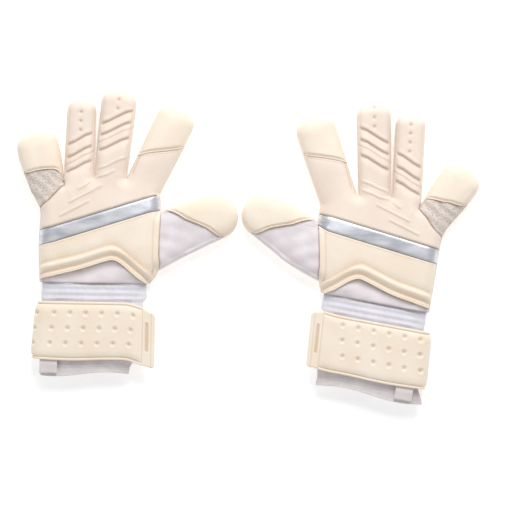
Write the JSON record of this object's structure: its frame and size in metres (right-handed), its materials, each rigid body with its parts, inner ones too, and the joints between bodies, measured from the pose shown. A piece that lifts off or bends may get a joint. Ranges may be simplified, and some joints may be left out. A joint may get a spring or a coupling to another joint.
{
  "type": "goalkeeper gloves",
  "caption": "Pair of padded latex goalkeeper gloves, lying palm down, with bending finger stalls, a fabric thumb web, an elastic wrist and a peel-open wrist strap.",
  "frame": {"origin": "under the middle of the pair, on the plane the palms rest on", "axes": "+X from the left-hand glove to the right-hand glove, +Y from the cuffs to the fingertips, +Z from palm to back of the hand"},
  "size_m": [0.4615, 0.3126, 0.0275],
  "materials": {
    "cream_latex": "smooth matt latex foam",
    "embossed_latex": "matt moulded latex, faintly pink",
    "silver_foil": "satin metallic foil print",
    "stretch_fabric": "fine lilac-white stretch knit",
    "white_elastic": "ribbed woven elastic",
    "grey_mesh": "open grey mesh over a pale lining",
    "cuff_knit": "grey-lilac knit",
    "woven_tape": "woven tape and loop pile"
  },
  "bodies": {
    "left_hand": {"left_palm_latex": "cream_latex", "left_back_panel": "cream_latex", "left_knuckle_panel": "embossed_latex", "left_silver_sash": "silver_foil", "left_wrist_chevron": "cream_latex", "left_outer_side_gusset": "stretch_fabric", "left_thumb_side_gusset": "stretch_fabric", "left_wrist_fabric": "stretch_fabric"},
    "left_index": {"left_index_palm": "cream_latex", "left_index_sleeve": "embossed_latex", "left_index_roll_cap": "cream_latex"},
    "left_middle": {"left_middle_palm": "cream_latex", "left_middle_gusset": "stretch_fabric", "left_middle_back": "embossed_latex"},
    "left_ring": {"left_ring_palm": "cream_latex", "left_ring_gusset": "stretch_fabric", "left_ring_back": "embossed_latex"},
    "left_little": {"left_little_palm": "cream_latex", "left_little_mesh_sleeve": "grey_mesh", "left_little_roll_cap": "cream_latex"},
    "left_thumb": {"left_thumb_palm": "cream_latex", "left_thumb_roll_cap": "cream_latex", "left_thumb_fabric_gusset": "stretch_fabric"},
    "left_cuff": {"left_wrist_elastic": "white_elastic", "left_cuff_sleeve": "cuff_knit", "left_strap_anchor": "cream_latex", "left_loop_patch": "woven_tape", "left_pull_loop": "woven_tape"},
    "left_strap": {"left_wrist_strap": "cream_latex", "left_strap_tab": "cream_latex"},
    "right_hand": {"right_palm_latex": "cream_latex", "right_back_panel": "cream_latex", "right_knuckle_panel": "embossed_latex", "right_silver_sash": "silver_foil", "right_wrist_chevron": "cream_latex", "right_outer_side_gusset": "stretch_fabric", "right_thumb_side_gusset": "stretch_fabric", "right_wrist_fabric": "stretch_fabric"},
    "right_index": {"right_index_palm": "cream_latex", "right_index_sleeve": "embossed_latex", "right_index_roll_cap": "cream_latex"},
    "right_middle": {"right_middle_palm": "cream_latex", "right_middle_gusset": "stretch_fabric", "right_middle_back": "embossed_latex"},
    "right_ring": {"right_ring_palm": "cream_latex", "right_ring_gusset": "stretch_fabric", "right_ring_back": "embossed_latex"},
    "right_little": {"right_little_palm": "cream_latex", "right_little_mesh_sleeve": "grey_mesh", "right_little_roll_cap": "cream_latex"},
    "right_thumb": {"right_thumb_palm": "cream_latex", "right_thumb_roll_cap": "cream_latex", "right_thumb_fabric_gusset": "stretch_fabric"},
    "right_cuff": {"right_wrist_elastic": "white_elastic", "right_cuff_sleeve": "cuff_knit", "right_strap_anchor": "cream_latex", "right_loop_patch": "woven_tape", "right_pull_loop": "woven_tape"},
    "right_strap": {"right_wrist_strap": "cream_latex", "right_strap_tab": "cream_latex"}
  },
  "joints": [
    {"name": "left_little_knuckle", "type": "hinge", "parent": "left_hand", "child": "left_little", "pos_m": [-0.2002, 0.05975, 0], "axis": [-0.9703, -0.2419, 0], "range_deg": [-20, 85]},
    {"name": "left_ring_knuckle", "type": "hinge", "parent": "left_hand", "child": "left_ring", "pos_m": [-0.169, 0.07095, 0], "axis": [-0.999, 0.0436, 0], "range_deg": [-20, 85]},
    {"name": "left_middle_knuckle", "type": "hinge", "parent": "left_hand", "child": "left_middle", "pos_m": [-0.1375, 0.07075, 0], "axis": [-0.9936, 0.1132, 0], "range_deg": [-20, 85]},
    {"name": "left_index_knuckle", "type": "hinge", "parent": "left_hand", "child": "left_index", "pos_m": [-0.1047, 0.06175, 0], "axis": [-0.8988, 0.4384, 0], "range_deg": [-20, 85]},
    {"name": "left_thumb_fold", "type": "hinge", "parent": "left_hand", "child": "left_thumb", "pos_m": [-0.0784, 0.01364, 0], "axis": [-0.3256, 0.9455, 0], "range_deg": [-20, 75]},
    {"name": "left_wrist_bend", "type": "hinge", "parent": "left_hand", "child": "left_cuff", "pos_m": [-0.15386, -0.04425, 0.011], "axis": [-0.9998, 0.0175, 0], "range_deg": [-35, 35], "deforming": ["left_wrist_elastic"]},
    {"name": "left_strap_peel", "type": "hinge", "parent": "left_cuff", "child": "left_strap", "pos_m": [-0.21651, -0.08116, 0.0203], "axis": [-0.0175, -0.9998, 0], "range_deg": [0, 150]},
    {"name": "right_glove_lift", "type": "slide", "parent": "left_hand", "child": "right_hand", "axis": [0, 0, 1], "range_m": [0, 0.15]},
    {"name": "right_little_knuckle", "type": "hinge", "parent": "right_hand", "child": "right_little", "pos_m": [0.1851, 0.02975, 0], "axis": [-0.809, 0.5878, 0], "range_deg": [-20, 85]},
    {"name": "right_ring_knuckle", "type": "hinge", "parent": "right_hand", "child": "right_ring", "pos_m": [0.1586, 0.04935, 0], "axis": [-0.9986, 0.0523, 0], "range_deg": [-20, 85]},
    {"name": "right_middle_knuckle", "type": "hinge", "parent": "right_hand", "child": "right_middle", "pos_m": [0.1267, 0.05225, 0], "axis": [-1, -0.0087, 0], "range_deg": [-20, 85]},
    {"name": "right_index_knuckle", "type": "hinge", "parent": "right_hand", "child": "right_index", "pos_m": [0.0905, 0.04895, 0], "axis": [-0.9511, -0.309, 0], "range_deg": [-20, 85]},
    {"name": "right_thumb_fold", "type": "hinge", "parent": "right_hand", "child": "right_thumb", "pos_m": [0.05679, 0.00512, 0], "axis": [-0.5299, -0.848, 0], "range_deg": [-20, 75]},
    {"name": "right_wrist_bend", "type": "hinge", "parent": "right_hand", "child": "right_cuff", "pos_m": [0.12566, -0.0641, 0.011], "axis": [-0.9833, 0.1822, 0], "range_deg": [-35, 35], "deforming": ["right_wrist_elastic"]},
    {"name": "right_strap_peel", "type": "hinge", "parent": "right_cuff", "child": "right_strap", "pos_m": [0.1797, -0.11276, 0.0203], "axis": [0.1822, 0.9833, 0], "range_deg": [0, 150]}
  ]
}
